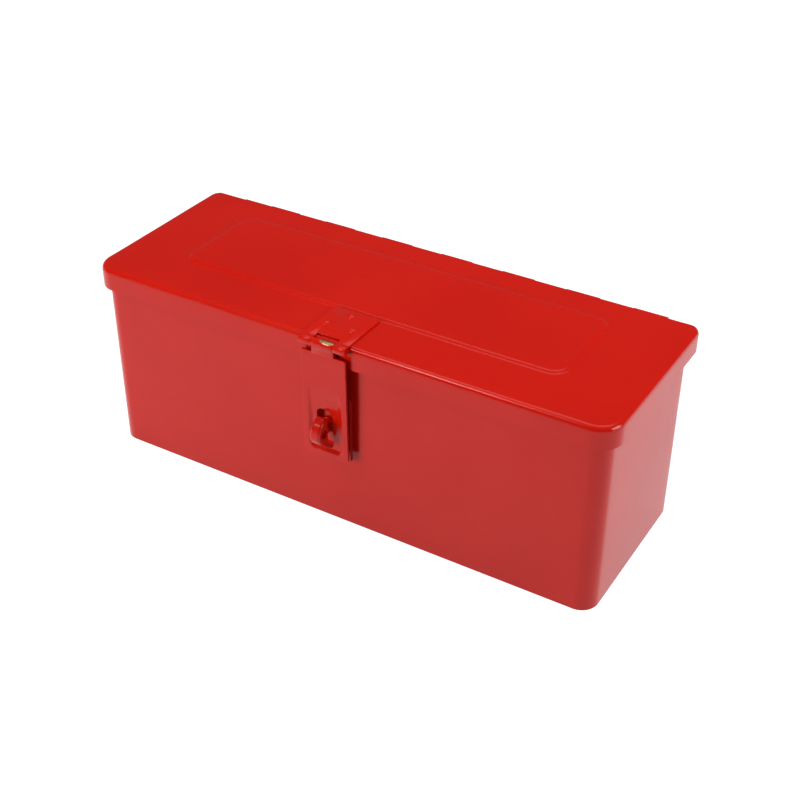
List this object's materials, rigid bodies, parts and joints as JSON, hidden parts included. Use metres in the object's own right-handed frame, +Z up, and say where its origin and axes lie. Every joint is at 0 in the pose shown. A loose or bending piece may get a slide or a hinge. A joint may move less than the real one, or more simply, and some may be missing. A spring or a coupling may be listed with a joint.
{
  "type": "tool box",
  "caption": "Painted sheet steel tool box with one hinged lid, a rear piano hinge, and a hasp that closes over a turn staple for a padlock.",
  "frame": {"origin": "centre of the flat base, on the surface that the box stands on", "axes": "+X along the length of the box to the right, +Y from the hasp to the rear hinge, +Z up"},
  "size_m": [0.4094, 0.1672, 0.1539],
  "materials": {
    "red_paint": "gloss red enamel on sheet steel",
    "hasp_paint": "gloss red enamel, rubbed to bare metal on the knuckle",
    "plated_steel": "zinc plated, satin"
  },
  "bodies": {
    "casing": {"body_shell": "red_paint", "bottom_pan": "red_paint", "hinge_body_leaf": "red_paint", "hinge_pin": "plated_steel", "staple_plate": "hasp_paint", "plate_rivets": "hasp_paint", "staple_washer": "plated_steel"},
    "lid": {"lid": "red_paint", "hinge_lid_leaf": "red_paint", "hasp_leaf": "hasp_paint", "hasp_pin": "plated_steel", "hasp_rivets": "hasp_paint"},
    "strap": {"hasp_strap": "hasp_paint"},
    "staple": {"turn_staple": "hasp_paint"}
  },
  "joints": [
    {"name": "lid_open", "type": "hinge", "parent": "casing", "child": "lid", "pos_m": [0.002, 0.07318, 0.14697], "axis": [-1, 0, 0], "range_deg": [0, 110]},
    {"name": "hasp_swing", "type": "hinge", "parent": "lid", "child": "strap", "pos_m": [-0.0028, -0.0776, 0.1496], "axis": [-1, 0, 0], "range_deg": [0, 234]},
    {"name": "staple_turn", "type": "hinge", "parent": "casing", "child": "staple", "pos_m": [-0.0028, -0.0783, 0.082], "axis": [0, -1, 0], "continuous": true}
  ],
  "couplings": [
    {"joint": "hasp_swing", "follows": "lid_open", "ratio": 2.12}
  ]
}
